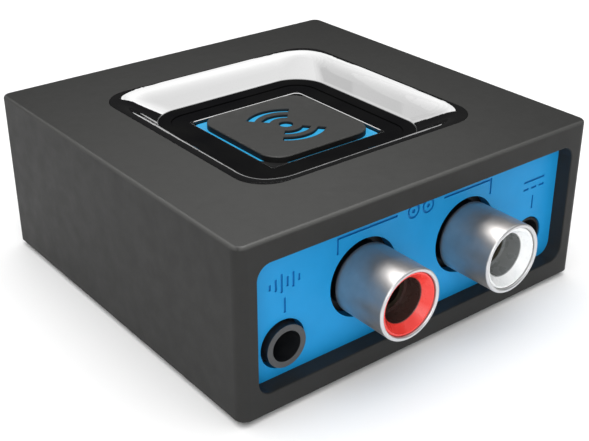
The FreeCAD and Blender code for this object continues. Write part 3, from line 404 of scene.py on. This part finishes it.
def add_camera():
    """Looks down from the front left, at a spot just above the middle of the case's underside."""
    level = math.cos(CAMERA_ELEVATION)
    back = Vector((
        math.sin(CAMERA_AZIMUTH) * level,
        -math.cos(CAMERA_AZIMUTH) * level,
        math.sin(CAMERA_ELEVATION),
    ))
    right = Vector((math.cos(CAMERA_AZIMUTH), math.sin(CAMERA_AZIMUTH), 0))
    up = back.cross(right)
    turn = Matrix.Rotation(CAMERA_ROLL, 3, back)
    right, up = turn @ right, turn @ up
    aim = Vector((case_middle.x, case_middle.y, case_low.z))
    spot = aim + back * CAMERA_DISTANCE + right * CAMERA_SHIFT_RIGHT + up * CAMERA_SHIFT_UP
    axes = Matrix((right, up, back)).transposed()
    data = bpy.data.cameras.new("camera")
    data.lens = CAMERA_LENS
    data.sensor_width = CAMERA_SENSOR
    data.clip_start = 5 * MM
    camera = bpy.data.objects.new("camera", data)
    camera.matrix_world = Matrix.Translation(spot) @ axes.to_4x4()
    bpy.context.scene.collection.objects.link(camera)
    bpy.context.scene.camera = camera


add_camera()


# ---------------------------------------------------------------- floor and light

FLOOR_REACH = 3.0
ROOM_GREY = (0.05, 0.05, 0.05, 1)
PAPER_WHITE = (1, 1, 1, 1)

# Height of the overhead cards above the case; their edges are in shares of it
SKY = 0.30
OVERHEAD_ACROSS = (-1.40, 0.92)
OVERHEAD_DEEP = (-1.20, 1.60)
DISH_CARD_ACROSS = (-1.40, 1.22)
DISH_CARD_EDGES = (-1.20, 0.60, 0.74, 0.88, 1.02, 1.16, 1.55)
DISH_CARD_RADIANCE = 11.8
DISH_CARD_FADE = 1.0


def add_floor():
    """A wide sheet of pale paper under the object."""
    mesh = bpy.data.meshes.new("floor")
    signs = [(-1, -1), (1, -1), (1, 1), (-1, 1)]
    corners = [(x * FLOOR_REACH, y * FLOOR_REACH, 0) for x, y in signs]
    mesh.from_pydata(corners, [], [(0, 1, 2, 3)])
    floor = bpy.data.objects.new("floor", mesh)
    bpy.context.scene.collection.objects.link(floor)
    finish = Finish("floor_paper", IOR=1.3)
    finish.colours((0.84, 0.84, 0.84, 1), (0.86, 0.86, 0.86, 1), size_mm=60.0)
    finish.roughness(0.85, 0.95, size_mm=40.0)
    mesh.materials.append(finish.material)
    return floor


def add_softbox(name, spot, aim, size, radiance):
    """A rectangular lamp whose surface has the given radiance."""
    data = bpy.data.lights.new(name, "AREA")
    data.shape = "RECTANGLE"
    data.size, data.size_y = size
    data.energy = radiance * math.pi * size[0] * size[1]
    lamp = bpy.data.objects.new(name, data)
    lamp.location = spot
    lamp.rotation_euler = (Vector(aim) - Vector(spot)).to_track_quat("-Z", "Y").to_euler()
    bpy.context.scene.collection.objects.link(lamp)
    return lamp


def add_card(name, across, deep, height, radiance):
    """A softbox that faces straight down, given by its edges across and front to back."""
    middle = (sum(across) / 2, sum(deep) / 2)
    size = (across[1] - across[0], deep[1] - deep[0])
    return add_softbox(name, (*middle, height), (*middle, 0), size, radiance)


def only_on(lamp, things):
    """Lets a lamp light and show in the given objects alone."""
    group = bpy.data.collections.new(lamp.name + "_receivers")
    for thing in things:
        group.objects.link(thing)
    lamp.light_linking.receiver_collection = group


def add_world():
    """Dim grey all round; plain white where the camera sees past the floor."""
    world = bpy.data.worlds.new("studio")
    world.use_nodes = True
    tree = world.node_tree
    surface = tree.nodes["Background"]
    surface.inputs["Color"].default_value = ROOM_GREY
    shown = tree.nodes.new("ShaderNodeBackground")
    shown.inputs["Color"].default_value = PAPER_WHITE
    path = tree.nodes.new("ShaderNodeLightPath")
    mix = tree.nodes.new("ShaderNodeMixShader")
    tree.links.new(path.outputs["Is Camera Ray"], mix.inputs["Fac"])
    tree.links.new(surface.outputs["Background"], mix.inputs[1])
    tree.links.new(shown.outputs["Background"], mix.inputs[2])
    tree.links.new(mix.outputs["Shader"], tree.nodes["World Output"].inputs["Surface"])
    bpy.context.scene.world = world


def sky_edges(shares):
    """Edges of an overhead card, in metres."""
    return [share * SKY for share in shares]


def add_overhead_cards():
    """One dim card over everything, and a bright one for the dish's reflections alone."""
    ceiling = case_high.z + SKY
    add_card("overhead", sky_edges(OVERHEAD_ACROSS), sky_edges(OVERHEAD_DEEP), ceiling, radiance=0.8)

    # The dish's card is dimmer strip by strip towards its far end
    across = sky_edges(DISH_CARD_ACROSS)
    edges = sky_edges(DISH_CARD_EDGES)
    for number, strip in enumerate(zip(edges, edges[1:])):
        radiance = DISH_CARD_RADIANCE - DISH_CARD_FADE * number
        card = add_card("dish_%d" % number, across, strip, ceiling + 2 * MM, radiance)
        only_on(card, [nodes["dish_bezel"]])


def add_lamps(floor):
    """The front softbox, and lamps that light one group of things each."""
    add_softbox("front", (-0.30, -0.50, 0.26), case_middle, size=(0.5, 0.4), radiance=3.2)
    corner = add_card("corner", (-0.022, -0.002), (-0.024, -0.004), height=0.080, radiance=54.0)
    only_on(corner, [nodes["main_housing"], nodes["button_cap"]])
    spot, aim = (-0.03, 0.09, 0.25), (0, -0.03, 0.01)
    barrels = add_softbox("barrel_top", spot, aim, size=(0.14, 0.10), radiance=14.0)
    only_on(barrels, [nodes[name] for name in nodes if name.startswith("rca_")])
    wide = (-2 * FLOOR_REACH, 2 * FLOOR_REACH)
    paper = add_card("paper", wide, wide, height=2 * FLOOR_REACH, radiance=1.35)
    only_on(paper, [floor])


add_world()
add_overhead_cards()
add_lamps(add_floor())
bpy.context.scene.view_settings.view_transform = "Standard"
